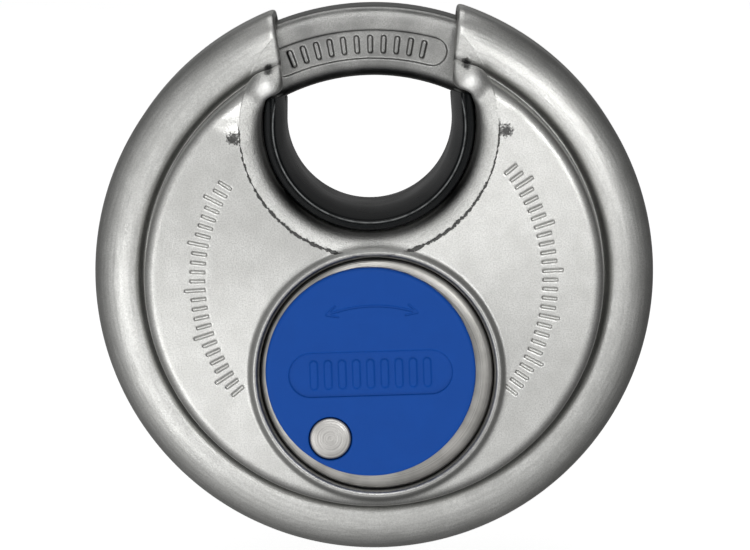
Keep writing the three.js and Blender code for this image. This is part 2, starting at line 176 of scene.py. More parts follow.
def crossing_points(value, cells):
    """The middle of the places where the surface crosses each cell's edges, in grid steps."""
    corner = np.stack([value[tuple((cells + o).T)] for o in CORNERS])
    total, hits = np.zeros((len(cells), 3)), np.zeros(len(cells))
    for p, o in enumerate(CORNERS):
        for axis in range(3):
            if o[axis]:
                continue
            q = CORNERS.index(tuple(o[n] + (n == axis) for n in range(3)))
            cross = (corner[p] < 0) != (corner[q] < 0)
            t = np.where(cross, corner[p] / np.where(cross, corner[p] - corner[q], 1), 0)
            for n in range(3):
                total[:, n] += np.where(cross, o[n] + (t if n == axis else 0), 0)
            hits += cross
    return cells + total / hits[:, None]


def quads(solid, ids, axis, wrap):
    """A quad round each grid line along one axis where it passes through the surface."""
    p, q = (axis + 1) % 3, (axis + 2) % 3
    around = solid.shape[1] - 1  # cells round the ring, if the second axis closes on itself
    lower = np.take(solid, range(solid.shape[axis] - 1), axis)
    upper = np.take(solid, range(1, solid.shape[axis]), axis)
    e = np.argwhere(lower != upper)
    if wrap and axis != 1:
        e = e[e[:, 1] < around]
    for n in (p, q):
        if not (wrap and n == 1):
            e = e[(e[:, n] > 0) & (e[:, n] < solid.shape[n] - 1)]
    ring = []
    for dp, dq in ((-1, -1), (0, -1), (0, 0), (-1, 0)):
        cell = e.copy()
        cell[:, p] += dp
        cell[:, q] += dq
        if wrap:
            cell[:, 1] %= around
        ring.append(ids[tuple(cell.T)])
    ring = np.stack(ring, axis=1)
    leaving = lower[tuple(e.T)]
    ring[~leaving] = ring[~leaving][:, ::-1]
    return ring


def contour(axes, place, field, wrap=False):
    """One vertex for each cell that the surface crosses, moved onto the surface, and the quads."""
    a, b, c = (np.asarray(x, float) for x in axes)
    x, z, h = place(*np.meshgrid(a, b, c, indexing="ij"))
    value = field(x, z, h)
    if wrap:
        value[:, -1] = value[:, 0]
    solid = value < 0
    count = sum(
        solid[i : i + a.size - 1, j : j + b.size - 1, k : k + c.size - 1].astype(np.int8)
        for i, j, k in CORNERS
    )
    cells = np.argwhere((count > 0) & (count < 8))
    ids = np.full(count.shape, -1, np.int64)
    ids[tuple(cells.T)] = np.arange(len(cells))
    spot = crossing_points(value, cells)
    at = [np.interp(spot[:, n], np.arange(s.size), s) for n, s in enumerate((a, b, c))]
    points = np.stack(place(*at), axis=1)
    for _ in range(4):
        points = onto_surface(points, field)
    faces = np.vstack([quads(solid, ids, axis, wrap) for axis in range(3)])
    return points, faces if volume(points, faces) > 0 else faces[:, ::-1]


def volume(points, faces):
    """Six times the volume, negative where the quads face inwards."""
    a, b, c, d = (points[faces[:, n]] for n in range(4))
    return np.einsum("ij,ij->", a, np.cross(b, c)) + np.einsum("ij,ij->", a, np.cross(c, d))


def onto_surface(points, field, e=0.02, most=0.12):
    """One Newton step towards the surface, of at most a given length."""
    value = field(*points.T)
    slope = np.zeros_like(points)
    for n in range(3):
        shift = np.zeros(3)
        shift[n] = e
        slope[:, n] = (field(*(points + shift).T) - field(*(points - shift).T)) / (2 * e)
    size2 = np.maximum((slope**2).sum(1), 0.05)
    move = -slope * (value / size2)[:, None]
    length = np.maximum(np.linalg.norm(move, axis=1), 1e-9)
    return points + move * np.minimum(1, most / length)[:, None]


def plain(x, z, h):
    """The placing of a grid whose coordinates are x, z and h themselves."""
    return x, z, h


def about(cx, cz):
    """Cylindrical grid coordinates (radius, degrees clockwise from the top, height) to x, z, h."""

    def place(r, turn, h):
        t = np.radians(turn)
        return cx + r * np.sin(t), cz + r * np.cos(t), h

    return place


def lines(*spans):
    """Grid lines through spans of (start, end, spacing), each joined to the next."""
    out = []
    for start, end, gap in spans:
        n = max(1, round((end - start) / gap))
        out += list(np.linspace(start, end, n, endpoint=False))
    return np.array([*out, spans[-1][1]])


def piece(name, shape, material, body, node, merge=0.03):
    """A closed smooth mesh that rides on a body and stands for one of its CAD nodes."""
    points, faces = shape
    x, z, h = points.T
    mesh = bpy.data.meshes.new(name)
    mesh.from_pydata((np.stack([x, MID_Y - h, z], axis=1) * MM).tolist(), [], faces.tolist())
    bm = bmesh.new()
    bm.from_mesh(mesh)
    bmesh.ops.remove_doubles(bm, verts=bm.verts, dist=merge * MM)
    bmesh.ops.dissolve_degenerate(bm, edges=bm.edges, dist=0.001 * MM)
    open_edges = [e for e in bm.edges if e.is_boundary]
    if open_edges:
        caps = bmesh.ops.holes_fill(bm, edges=open_edges)["faces"]
        bmesh.ops.triangulate(bm, faces=caps)
    bmesh.ops.recalc_face_normals(bm, faces=bm.faces)
    bm.to_mesh(mesh)
    bm.free()
    mesh.shade_smooth()
    mesh.materials.append(material)
    obj = bpy.data.objects.new(name, mesh)
    bpy.context.scene.collection.objects.link(obj)
    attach(obj, body)
    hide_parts(node)


# Materials -------------------------------------------------------------------------------------


class Paint:
    """A short way to write a node material in object coordinates, which are metres here."""

    def __init__(self, name, metallic):
        self.material = bpy.data.materials.new(name)
        self.material.use_nodes = True
        self.tree = self.material.node_tree
        self.bsdf = self.tree.nodes["Principled BSDF"]
        self.bsdf.inputs["Metallic"].default_value = metallic
        self.place = self.node("ShaderNodeTexCoord").outputs["Object"]

    def node(self, kind, inputs=(), **props):
        n = self.tree.nodes.new(kind)
        for key, value in props.items():
            setattr(n, key, value)
        for key, value in dict(inputs).items():
            self.feed(n.inputs[key], value)
        return n

    def feed(self, socket, value):
        if isinstance(value, bpy.types.NodeSocket):
            self.tree.links.new(value, socket)
        else:
            socket.default_value = value

    def math(self, operation, *values):
        """One step of arithmetic on sockets and numbers."""
        n = self.node("ShaderNodeMath", operation=operation)
        for i, value in enumerate(values):
            self.feed(n.inputs[i], value)
        return n.outputs[0]

    def noise(self, size_mm, detail=2.0, rough=0.5):
        """Noise whose blobs are about size_mm across, from 0 to 1."""
        values = {"Scale": 1 / (size_mm * MM), "Detail": detail, "Roughness": rough}
        values["Vector"] = self.place
        return self.node("ShaderNodeTexNoise", values).outputs["Fac"]

    def span(self, value, low, high, to_low=0.0, to_high=1.0):
        """Value from low..high to to_low..to_high, clamped and smooth."""
        n = self.node("ShaderNodeMapRange", interpolation_type="SMOOTHSTEP")
        for i, v in enumerate((value, low, high, to_low, to_high)):
            self.feed(n.inputs[i], v)
        return n.outputs[0]

    def mix(self, share, a, b):
        n = self.node("ShaderNodeMix", data_type="RGBA")
        for key, value in ((0, share), (6, a), (7, b)):
            self.feed(n.inputs[key], value)
        return n.outputs[2]

    def part(self, axis):
        """The place along X, Y or Z (0, 1 or 2), in metres."""
        return self.node("ShaderNodeSeparateXYZ", {0: self.place}).outputs[axis]

    def radius(self, cx, cz):
        """Distance in mm from an axis along Y."""
        x = self.math("SUBTRACT", self.math("MULTIPLY", self.part(0), 1 / MM), cx)
        z = self.math("SUBTRACT", self.math("MULTIPLY", self.part(2), 1 / MM), cz)
        total = self.math("ADD", self.math("POWER", x, 2.0), self.math("POWER", z, 2.0))
        return self.math("SQRT", total)

    def height(self):
        """Height in mm in front of the mid-plane."""
        return self.math("SUBTRACT", self.math("MULTIPLY", self.part(1), -1 / MM), FACE_H)

    def streak(self, size_mm):
        """Noise drawn out into rings round the disc's axis, about size_mm wide, from 0 to 1."""
        turn = self.math("ARCTAN2", self.part(0), self.math("ABSOLUTE", self.part(2)))
        place = {0: self.radius(0, 0), 1: self.math("MULTIPLY", turn, 2.5), 2: self.height()}
        place = self.node("ShaderNodeCombineXYZ", place).outputs[0]
        values = {"Vector": place, "Scale": 1 / size_mm, "Detail": 3.0}
        return self.node("ShaderNodeTexNoise", values).outputs["Fac"]

    def tracks(self, around, per_mm, detail):
        """Noise in rings, from a distance to the axis in mm, from 0 to 1."""
        place = self.node("ShaderNodeCombineXYZ", {0: around}).outputs[0]
        values = {"Vector": place, "Scale": per_mm, "Detail": detail}
        return self.node("ShaderNodeTexNoise", values).outputs["Fac"]

    def product(self, first, *more):
        """All the values multiplied together."""
        for value in more:
            first = self.math("MULTIPLY", first, value)
        return first

    def distance(self, value, centre):
        """How far a value is from a centre."""
        return self.math("ABSOLUTE", self.math("SUBTRACT", value, centre))

    def bump(self, value, depth_mm):
        """The surface's direction with a relief of the given depth."""
        values = {"Height": value, "Distance": depth_mm * MM, "Strength": 1.0}
        return self.node("ShaderNodeBump", values).outputs["Normal"]

    def set(self, **values):
        for key, value in values.items():
            self.feed(self.bsdf.inputs[key.replace("_", " ")], value)
        return self.material


def rgb(r, g, b):
    return (r, g, b, 1.0)


def fold_shade_and_grime(p):
    """Painted shade and grime along the fold: a dark wavering line in its crease, and dark smudges at its
    ends and in the creases.
    """
    dish = p.radius(0, WINDOW_Z)
    wander = p.product(p.math("SUBTRACT", p.noise(0.22, 3.0), 0.5), 0.3)
    off = p.distance(p.math("ADD", dish, wander), DISH_R)
    width = p.span(p.noise(0.45, 4.0), 0.3, 0.7, 0.08, 0.30)
    width = p.product(width, p.span(p.part(2), 4 * MM, 13 * MM, 1.1, 0.5))
    line = p.span(p.math("DIVIDE", off, width), 0.5, 1.0, 1.0, 0.0)
    line = p.product(line, p.span(p.distance(p.height(), FACE_H - 0.03), 0.12, 0.3, 1.0, 0.0))
    for (x, z), size, ragged in ((FOLD_END, 0.8, 5.0), (CREASE_END, 0.6, 1.5)):
        for side in (-1, 1):
            spot = p.math("ADD", p.radius(side * x, z), p.product(wander, ragged))
            line = p.math("MAXIMUM", line, p.span(spot, size / 3, size, 1.0, 0.0))
    return p.product(line, p.span(p.height(), 4.0, 5.0))  # on the front shell only


def shell_colour(p, grain, streak):
    """Clouded, grained steel: dull on the collar, with painted shade in the groove and a painted
    highlight on the noses.
    """
    colour = p.mix(p.span(p.noise(2.6, 4.0), 0.3, 0.7), rgb(0.60, 0.60, 0.58), rgb(0.68, 0.68, 0.66))
    colour = p.mix(p.span(grain, 0.35, 0.7, 0.0, 0.6), colour, rgb(0.40, 0.40, 0.385))
    colour = p.mix(p.span(streak, 0.25, 0.75, 0.0, 0.45), colour, rgb(0.40, 0.40, 0.39))
    collar = p.radius(0, LOCK_Z)
    drawn = p.span(p.tracks(collar, 7.0, 3.0), 0.25, 0.75, 0.25, 0.8)
    dull = p.product(p.span(collar, 13.3, 14.3, 1.0, 0.0), drawn, p.span(p.height(), 6.0, 7.0))
    colour = p.mix(dull, colour, rgb(0.19, 0.19, 0.185))
    # painted shade: the bottom of the groove is painted dark
    groove = p.span(p.distance(p.radius(0, 0), GROOVE_R), 0.1, 0.5, 1.0, 0.0)
    groove_shade = p.product(groove, p.span(p.height(), 6.3, 7.4, 1.0, 0.0), 0.6)
    colour = p.mix(groove_shade, colour, rgb(0.10, 0.10, 0.10))
    # painted highlight: a pale spot on each nose
    for side in (-1, 1):
        painted_highlight = p.span(p.radius(side * NOSE[0], NOSE[1]), 0.3, 1.6, 0.8, 0.0)
        painted_highlight = p.product(painted_highlight, p.span(p.height(), 8.5, 9.3))
        colour = p.mix(painted_highlight, colour, rgb(0.92, 0.92, 0.90))
    return colour


def shell_steel():
    p = Paint("shell_steel", 1.0)
    grain = p.noise(0.16, 3.0, 0.6)
    marks = fold_shade_and_grime(p)
    # the rings that spinning left are fainter on the flat face
    streak = p.product(p.streak(0.35), p.span(p.height(), 9.2, 10.3, 1.0, 0.45))
    # painted shade and grime: the fold's dark line and smudges, mixed in nearly black
    colour = p.mix(p.product(marks, 0.9), shell_colour(p, grain, streak), rgb(0.02, 0.02, 0.02))
    # the sheet is coarser where it was stretched into the window
    stretched = p.span(p.radius(0, WINDOW_Z), DISH_R - 0.15, DISH_R, 1.0, 0.0)
    stretched = p.product(stretched, p.span(p.height(), 2.0, 6.0))
    rough = p.math("ADD", p.span(p.noise(9.0, 3.0), 0.3, 0.7, 0.30, 0.36), p.product(stretched, 0.06))
    depth = p.math("ADD", 0.6, p.product(stretched, 1.4))
    height = p.product(p.math("ADD", grain, p.product(p.noise(0.07, 2.0), 0.4)), depth)
    height = p.math("ADD", height, p.product(streak, 0.9))
    height = p.math("SUBTRACT", height, p.product(marks, 3.0))
    # it was spun on its tool, so highlights stretch across the rings that this left
    spun = p.node("ShaderNodeTangent", direction_type="RADIAL", axis="Y").outputs[0]
    p.set(Anisotropic=0.6, Anisotropic_Rotation=0.25, Tangent=spun)
    return p.set(Base_Color=colour, Roughness=rough, Normal=p.bump(height, 0.026))


def bar_steel():
    p = Paint("bar_steel", 1.0)
    grain, cloud = p.noise(0.13, 3.0, 0.6), p.noise(3.0, 3.0)
    colour = p.mix(p.span(cloud, 0.3, 0.7), rgb(0.22, 0.22, 0.215), rgb(0.325, 0.325, 0.315))
    colour = p.mix(p.span(grain, 0.35, 0.7, 0.0, 0.6), colour, rgb(0.17, 0.17, 0.165))
    rough = p.span(cloud, 0.3, 0.7, 0.30, 0.38)
    return p.set(Base_Color=colour, Roughness=rough, Normal=p.bump(grain, 0.020))


def liner_plastic():
    p = Paint("liner_plastic", 0.0)
    grain, cloud = p.noise(0.12, 3.0, 0.6), p.noise(4.0, 3.0)
    colour = p.mix(cloud, rgb(0.0025, 0.003, 0.0035), rgb(0.006, 0.007, 0.0075))
    # a painted highlight: the crest of the lip is painted pale, in patches
    crest = p.span(p.distance(p.radius(0, WINDOW_Z), LIP_R), 0.03, 0.1, 1.0, 0.0)
    patches = p.span(p.noise(0.8, 3.0), 0.3, 0.6, 0.3, 1.0)
    painted_highlight = p.product(crest, p.span(p.height(), 9.5, 9.65), patches)
    colour = p.mix(painted_highlight, colour, rgb(0.13, 0.135, 0.135))
    rough = p.span(cloud, 0.3, 0.7, 0.20, 0.30)
    normal = p.bump(grain, 0.004)
    return p.set(Base_Color=colour, Roughness=rough, Normal=normal, Specular_IOR_Level=0.2)


def cover_plastic():
    p = Paint("cover_plastic", 0.0)
    grain, cloud = p.noise(0.11, 3.0, 0.65), p.noise(2.4, 4.0)
    colour = p.mix(cloud, rgb(0.0001, 0.046, 0.255), rgb(0.0003, 0.053, 0.290))
    rough = p.span(grain, 0.3, 0.7, 0.42, 0.54)
    normal = p.bump(grain, 0.008)
    return p.set(Base_Color=colour, Roughness=rough, Normal=normal, Specular_IOR_Level=0.15)


def spun_metal(name, cx, cz, dark, light, rough, pitch_mm, depth_mm):
    """Metal with fine rings turned about an axis along Y."""
    p = Paint(name, 1.0)
    around = p.radius(cx, cz)
    wobble = p.math("ADD", around, p.product(p.noise(1.5, 2.0), 0.12))
    rings = p.math("SINE", p.product(wobble, 2 * math.pi / pitch_mm))
    tracks = p.tracks(around, 9.0, 4.0)
    colour = p.mix(p.span(p.math("ADD", tracks, p.noise(2.5, 3.0)), 0.7, 1.3), dark, light)
    tone = p.span(tracks, 0.3, 0.7, rough - 0.05, rough + 0.07)
    height = p.math("ADD", p.product(rings, 0.5), tracks)
    return p.set(Base_Color=colour, Roughness=tone, Normal=p.bump(height, depth_mm))


def cast_metal(name, dark, light, rough, grain_mm, depth_mm):
    """Metal with a plain grain and a cloudy tone."""
    p = Paint(name, 1.0)
    grain, cloud = p.noise(grain_mm, 4.0, 0.6), p.noise(grain_mm * 12, 3.0)
    colour = p.mix(p.span(cloud, 0.3, 0.7), dark, light)
    tone = p.span(grain, 0.3, 0.7, rough - 0.05, rough + 0.06)
    return p.set(Base_Color=colour, Roughness=tone, Normal=p.bump(grain, depth_mm))


STEEL = shell_steel()
BAR = bar_steel()
LINER = liner_plastic()
BLUE = cover_plastic()
RIVET_STEEL = spun_metal(
    "rivet_steel", *RIVET, rgb(0.39, 0.38, 0.365), rgb(0.53, 0.52, 0.50),
    rough=0.38, pitch_mm=0.28, depth_mm=0.006)
NICKEL = spun_metal(
    "cylinder_nickel", 0, LOCK_Z, rgb(0.27, 0.265, 0.25), rgb(0.42, 0.41, 0.39),
    rough=0.32, pitch_mm=0.16, depth_mm=0.004)
HARD = spun_metal(
    "hard_steel", 0, LOCK_Z, rgb(0.30, 0.30, 0.31), rgb(0.42, 0.42, 0.43),
    rough=0.36, pitch_mm=0.2, depth_mm=0.006)
BRASS = cast_metal(
    "lock_brass", rgb(0.55, 0.40, 0.16), rgb(0.68, 0.50, 0.22), rough=0.3, grain_mm=0.2, depth_mm=0.006)
ZINC = cast_metal(
    "frame_zinc", rgb(0.28, 0.28, 0.29), rgb(0.38, 0.38, 0.39), rough=0.5, grain_mm=0.25, depth_mm=0.02)
SPRING = cast_metal(
    "spring_steel", rgb(0.42, 0.42, 0.43), rgb(0.54, 0.54, 0.55), rough=0.3, grain_mm=0.1, depth_mm=0.003)


# Shells ----------------------------------------------------------------------------------------

FAR = -6.0  # outlines run on to here, past everything that is cut away
FACE_OUTLINE = Outline(
    [(-5, FAR), (-5, FACE_H), *arc(23.2, FACE_H - 1.2, 1.2, 90, 0, 16), (24.5, 5.0), (24.5, FAR)],
    (0, -1), (33, 13))
RIM_OUTLINE = Outline(
    [(-5, FAR), (-5, 5.1), *spline([(23.4, 5.2), (24.2, 5.4), (24.65, 5.6)], 5), *spline([
        (25.2, 6.28), (25.5, 6.43), (26.0, 6.5), (27.0, 6.43), (27.8, 6.21), (28.5, 5.87),
        (29.1, 5.4), (29.6, 4.78), (29.9, 4.1), (DISC_R, 3.4), (DISC_R, 2.4)]), (DISC_R, FAR)],
    (0, -1), (33, 13))
BOWL_OUTLINE = Outline(
    [(-5, 7.2), *spline([
        (11.32, 7.2), (11.36, 7.95), (11.5, 8.7), (11.82, 9.4), (12.3, 9.9), (12.95, 10.2),
        (DISH_R, FACE_H)], 6), (15.75, 10.95), (15.75, 15), (-5, 15)],
    (0, -1), (20, 13))
BEAD_OUTLINE = Outline(
    [(12.2, 9.2), (13.6, 9.2), *spline([
        (13.6, 10.1), (13.55, 10.5), (13.3, 10.83), (13.0, 10.95), (12.7, 10.84), (12.5, 10.5)], 6),
     (12.2, 10.3)],
    (8, 6), (18, 13))
LUG_SIDE = spline([
    (10.3, 32), (9.5, 26), (9.05, 22.3), (8.95, 21.2), (9.05, 20.5), (9.5, 20.05), (10.2, 19.85),
    (10.6, 19.65)])
WAY_OUTLINE = Outline(
    [*[(-x, z) for x, z in LUG_SIDE], *arc(0, WINDOW_Z, WINDOW_R, 164, 376, 110), *LUG_SIDE[::-1]],
    (-14, 3), (14, 32))


def pressing_field(x, z, h):
    """The outer form of either shell, solid: rim, groove, face, the roll round the window, noses."""
    r, dish = np.hypot(x, z), np.hypot(x, z - WINDOW_Z)
    # the groove closes up and the face draws in as they come to the lugs
    lug = step01(12.9, 9.2, np.abs(x)) * step01(18, 21, z)
    inward = 0.75 * lug * step01(28.5, 26, r)
    rim = np.maximum(RIM_OUTLINE(r + inward, h), r - DISC_R)
    bowl = smax(BOWL_OUTLINE(dish, h), z - 20.3, 3.0)
    face = FACE_OUTLINE(r - 0.4 * lug, h + NECK_SINK * step01(17.3, 20.0, z))
    face = smax(face, -bowl, 0.1 + 1.2 * step01(14.8, 17.5, z))
    knob = np.sqrt((np.abs(x) - NOSE[0]) ** 2 + (z - NOSE[1]) ** 2 + (h - NOSE[2]) ** 2) - NOSE_R
    return smin(rim, smin(face, knob, 0.8), 0.1)


def channel_field(x, z, h):
    """The room that the shackle moves in."""
    r = np.hypot(x, z)
    return np.maximum(np.maximum(BAR_IN - r, r - BAR_OUT), h - SHACKLE_H) - GAP


def shell_field(front):
    """The pressing hollowed out to its sheet, with its openings cut."""

    def field(x, z, h):
        body = pressing_field(x, z, h)
        collar = np.hypot(x, z - LOCK_Z)
        if front:
            body = smin(body, BEAD_OUTLINE(collar, h), 0.35)
        sheet = smax(body, -(body + SHEET), 0.1)
        sheet = smax(sheet, -WAY_OUTLINE(x, z), 0.45 + 0.2 * step01(19, 21, z))
        sheet = smax(sheet, -channel_field(x, z, h), 0.1)
        if front:
            sheet = smax(sheet, COLLAR_R - collar, 0.2)
            sheet = smax(sheet, -tick_field(x, z, h), 0.06)
        return smax(sheet, SEAM / 2 - h, 0.35)

    return field


def tick_field(x, z, h):
    """The engraved marks: a short radial stroke each step, and a longer one every fifth."""
    r = np.hypot(x, z)
    turn = np.degrees(np.arctan2(x, z)) % 360
    best = np.full(x.shape, 9.0)
    for start, end in TICK_ARCS:
        last = round((end - start) / TICK_STEP) - 1
        n = np.clip(np.round((turn - start) / TICK_STEP - 0.5), 0, last)
        off = np.abs(turn - start - (n + 0.5) * TICK_STEP)
        across = np.radians(np.minimum(off, 30)) * r - 0.16
        half = np.where(n % 5 == 2, 1.1, 0.8)
        along = np.abs(r - TICK_R - half) - half
        best = np.minimum(best, smax(across, along, 0.1))
    return np.maximum(best, FACE_H - CUT_DEPTH - h)


def tick_lines(start, end):
    """Grid lines that run close together over each mark."""
    offsets = np.array([-0.5, -0.3, -0.2, -0.1, 0.1, 0.2, 0.3]) * TICK_STEP
    centres = np.arange(start + TICK_STEP / 2, end, TICK_STEP)
    return [*(centres[:, None] + offsets).ravel()]


def shell(front):
    radii = lines(
        (0.4, 10, 0.35), (10, 17.75, 0.28), (17.75, 18.05, 0.1), (18.05, 19.35, 0.26),
        (19.35, 19.65, 0.1), (19.65, 19.95, 0.15), (19.95, 20.25, 0.1), (20.25, 23.0, 0.26),
        (23.0, 26.0, 0.15), (26.0, 30.2, 0.2))
    heights = lines(
        (-0.1, 4, 0.25), (4, 10.0, 0.2), (10.0, 10.2, 0.1), (10.2, 10.325, 0.125),
        (10.325, 10.5, 0.175), (10.5, 11.2, 0.14))
    turns = lines((-34, 34, 0.6), (34, 326, 1.2))
    if front:
        (a, b), (c, d) = TICK_ARCS
        turns = np.array([
            *lines((-34, 34, 0.6), (34, a, 1.2))[:-1], *tick_lines(a, b),
            *lines((b, c, 1.0))[:-1], *tick_lines(c, d), *lines((d, 326, 1.2))])
    return contour((radii, turns, heights), about(0, 0), shell_field(front), wrap=True)


def mirrored(shape):
    """The same shape behind the mid-plane."""
    points, faces = shape
    return points * (1, 1, -1), faces[:, ::-1]


piece("front_shell_pressing", shell(True), STEEL, "body", "front_shell")
piece("rear_shell_pressing", mirrored(shell(False)), STEEL, "body", "rear_shell")


# Shackle ---------------------------------------------------------------------------------------

BAR_FROM, BAR_TO = -156.0, 41.7  # its ends, in degrees clockwise from the top
RIB_STEP = 3.3  # degrees between the raised bars of the sunk panel
RIB_COUNT, RIB_H = 11, 0.24
SWING, PLUG_TURN = 70.0, 119.0  # degrees
TOOTH_LENGTH, TOOTH_ROOM = 3.0, 1.6  # the cam's tooth, and the room each side of its middle line
BAR_HALF = [(BAR_IN, 0), (BAR_IN, 1.8), *spline([
    (BAR_IN, 2.4), (21.28, 2.95), (21.55, 3.5), (21.95, 3.93), (22.4, 4.17), (23.3, 4.25),
    (24.4, SHACKLE_H), (25.6, SHACKLE_H), (26.9, 4.25), (27.8, 4.14), (28.3, 3.95), (28.6, 3.65),
    (BAR_OUT, 3.2)], 6)]
BAR_OUTLINE = Outline([*BAR_HALF, *[(r, -h) for r, h in BAR_HALF[::-1]]], (19, -6), (31, 6))


def tooth_reach():
    """How far the cam's tooth reaches from the plug's axis to stay in the shackle's notch."""
    a, b = math.radians(SWING / 2), math.radians(PLUG_TURN / 2)
    return -LOCK_Z * math.tan(a) / (math.sin(b) - math.cos(b) * math.tan(a))


def notch_field(x, z):
    """The room that the cam's tooth sweeps through, seen from the shackle."""
    best = np.full(x.shape, 9.0)
    reach = tooth_reach()
    for t in np.linspace(0, 1, 21):  # from locked to open
        turn, swing = math.radians(PLUG_TURN / 2 * (1 - 2 * t)), math.radians(SWING * t)
        tip = (-reach * math.sin(turn), LOCK_Z - reach * math.cos(turn))
        inner = reach - TOOTH_LENGTH
        root = (-inner * math.sin(turn), LOCK_Z - inner * math.cos(turn))
        (ax, az), (bx, bz) = (
            (px * math.cos(swing) + pz * math.sin(swing), pz * math.cos(swing) - px * math.sin(swing))
            for px, pz in (tip, root))
        dx, dz = bx - ax, bz - az
        s = np.clip(((x - ax) * dx + (z - az) * dz) / (dx * dx + dz * dz), 0, 1)
        best = np.minimum(best, np.hypot(x - ax - s * dx, z - az - s * dz) - TOOTH_ROOM)
    return best


def panel_field(x, z, h):
    """The sunk panel with its round ends, and the bars that stand in it."""
    r, turn = np.hypot(x, z), np.degrees(np.arctan2(x, z))
    middle, half = (PANEL_FROM + PANEL_TO) / 2, (PANEL_TO - PANEL_FROM) / 2
    along = np.maximum(np.abs(turn - middle) - half, 0)
    sink = np.hypot(np.radians(along) * PANEL_R, r - PANEL_R) - PANEL_HALF
    most = RIB_COUNT // 2
    n = np.clip(np.round((turn - middle) / RIB_STEP), -most, most)
    off = np.abs(turn - middle - n * RIB_STEP)
    rib = np.hypot(np.radians(off) * PANEL_R, np.maximum(np.abs(r - PANEL_R) - 0.7, 0)) - 0.25
    floor = SHACKLE_H - PANEL_DEPTH + RIB_H * step01(0.08, -0.08, rib)
    return np.maximum(sink, floor - h)


def shackle_field(x, z, h):
    r = np.hypot(x, z)
    middle, half = (BAR_FROM + BAR_TO) / 2, (BAR_TO - BAR_FROM) / 2
    from_middle = (np.degrees(np.arctan2(x, z)) - middle + 180) % 360 - 180
    body = smax(BAR_OUTLINE(r, h), np.radians(np.abs(from_middle) - half) * r, 0.6)
    body = smax(body, -panel_field(x, z, h), 0.08)
    return np.where(from_middle < -40, smax(body, -notch_field(x, z), 0.3), body)


def shackle():
    radii = lines((20.9, 23.0, 0.2), (23.0, 26.3, 0.15), (26.3, 29.0, 0.2))
    turns = lines((BAR_FROM - 1, -24, 0.75), (-24, 19, 0.3), (19, BAR_TO + 1, 0.6))
    heights = lines((-4.6, 3.9, 0.25), (3.9, 4.06, 0.08), (4.06, 4.46, 0.1))
    return contour((radii, turns, heights), about(0, 0), shackle_field)


piece("shackle_bar", shackle(), BAR, "shackle", "shackle")


# Window liner ----------------------------------------------------------------------------------

HEM_H = 5.8  # the hem lies under the edges of the shells
HEM_TOP_Z = 18.9
LINER_TOP_Z = 19.75
LINER_HALF = [(8.9, 0), (8.9, 2.2), *spline([
    (8.9, 2.8), (9.0, 4.8), (9.25, 6.6), (9.58, 8.2), (9.8, 9.1), (9.92, 9.5), (10.05, 9.74),
    (10.2, 9.8), (10.34, 9.68), (10.42, 9.4), (10.55, 9.22), (10.85, 9.1), (11.1, 8.85),
    (11.18, 8.5)], 5), (11.18, HEM_H), (11.75, HEM_H)]
LINER_OUTLINE = Outline([*LINER_HALF, *[(r, -h) for r, h in LINER_HALF[::-1]]], (8, -11), (12, 11))


def liner_field(x, z, h):
    up = z - WINDOW_Z
    body = LINER_OUTLINE(np.hypot(x, np.minimum(up, 0)) + 0.04 * np.maximum(up, 0), h)
    # only the hem, under the edge of the shells, is wider than their window
    hem = np.maximum(np.abs(h) - HEM_H - 0.1, z - HEM_TOP_Z)
    body = smax(body, np.minimum(WAY_OUTLINE(x, z) + 0.14, hem), 0.2)
    body = smax(body, z - LINER_TOP_Z, 0.3)
    return smax(body, -channel_field(x, z, np.abs(h)), 0.3)


def liner():
    radii = lines((8.6, 9.7, 0.14), (9.7, 10.6, 0.07), (10.6, 12.0, 0.14))
    turns = lines((60, 300, 0.9))
    heights = lines((-9.96, -9, 0.08), (-9, 9, 0.25), (9, 9.96, 0.08))
    return contour((radii, turns, heights), about(0, WINDOW_Z), liner_field)


piece("window_liner_ring", liner(), LINER, "body", "window_liner")


# Lock cylinder ---------------------------------------------------------------------------------

FLANGE_OUTLINE = Outline(
    [(-5, 7.8), (12.4, 7.8), *spline([
        (12.4, 9.9), (12.36, 10.1), (12.22, 10.3), (11.95, 10.46), (11.6, 10.56), (11.2, 10.6)], 6),
     (-5, 10.6)],
    (0, 5), (16, 13))
SHOULDER_R = 13.48  # the step that sits behind the edge of the front shell
BARREL_R = 8.8
TOWER_HALF, TOWER_TOP = 3.4, 12.2  # the block that holds the pins, above the plug's axis
CHAMBER_R, PIN_PITCH, PIN_MIDDLE_H = 1.15, 2.4, 0.2
STRIP_HALF = 1.9  # slot for the strip that closes the pin chambers


def housing_field(x, z, h):
    q, up = np.hypot(x, z - LOCK_Z), z - LOCK_Z
    shoulder = np.maximum(q - SHOULDER_R, np.abs(h - 8.25) - 0.85)
    # it stays clear of the rolled rim and of the window
    shoulder = np.maximum(shoulder, np.hypot(x, z) - 22.4)
    shoulder = np.maximum(shoulder, 14.65 - np.hypot(x, z - WINDOW_Z))
    barrel = np.maximum(q - BARREL_R, np.abs(h - 1.0) - 6.6)
    tower = np.maximum(np.abs(x) - TOWER_HALF, np.abs(h - 0.7) - 6.3)
    tower = np.maximum(tower, np.maximum(up - TOWER_TOP, 4 - up))
    body = smin(smin(FLANGE_OUTLINE(q, h), shoulder, 0.3), smin(barrel, tower, 0.3), 0.3)
    strip = np.maximum(np.maximum(np.abs(x) - STRIP_HALF, 11.4 - up), np.abs(h - 0.9) - 7.5)
    from_pin = (h - PIN_MIDDLE_H + PIN_PITCH / 2) % PIN_PITCH - PIN_PITCH / 2
    chambers = np.maximum(np.hypot(x, from_pin) - CHAMBER_R, np.abs(h - PIN_MIDDLE_H) - 6.0)
    chambers = np.maximum(chambers, -up)
    rivet_hole = np.hypot(x - RIVET[0], z - RIVET[1]) - RIVET_R - GAP
    for cutter in (q - PLUG_R - GAP, strip, chambers, rivet_hole):
        body = smax(body, -cutter, 0.15)
    return body


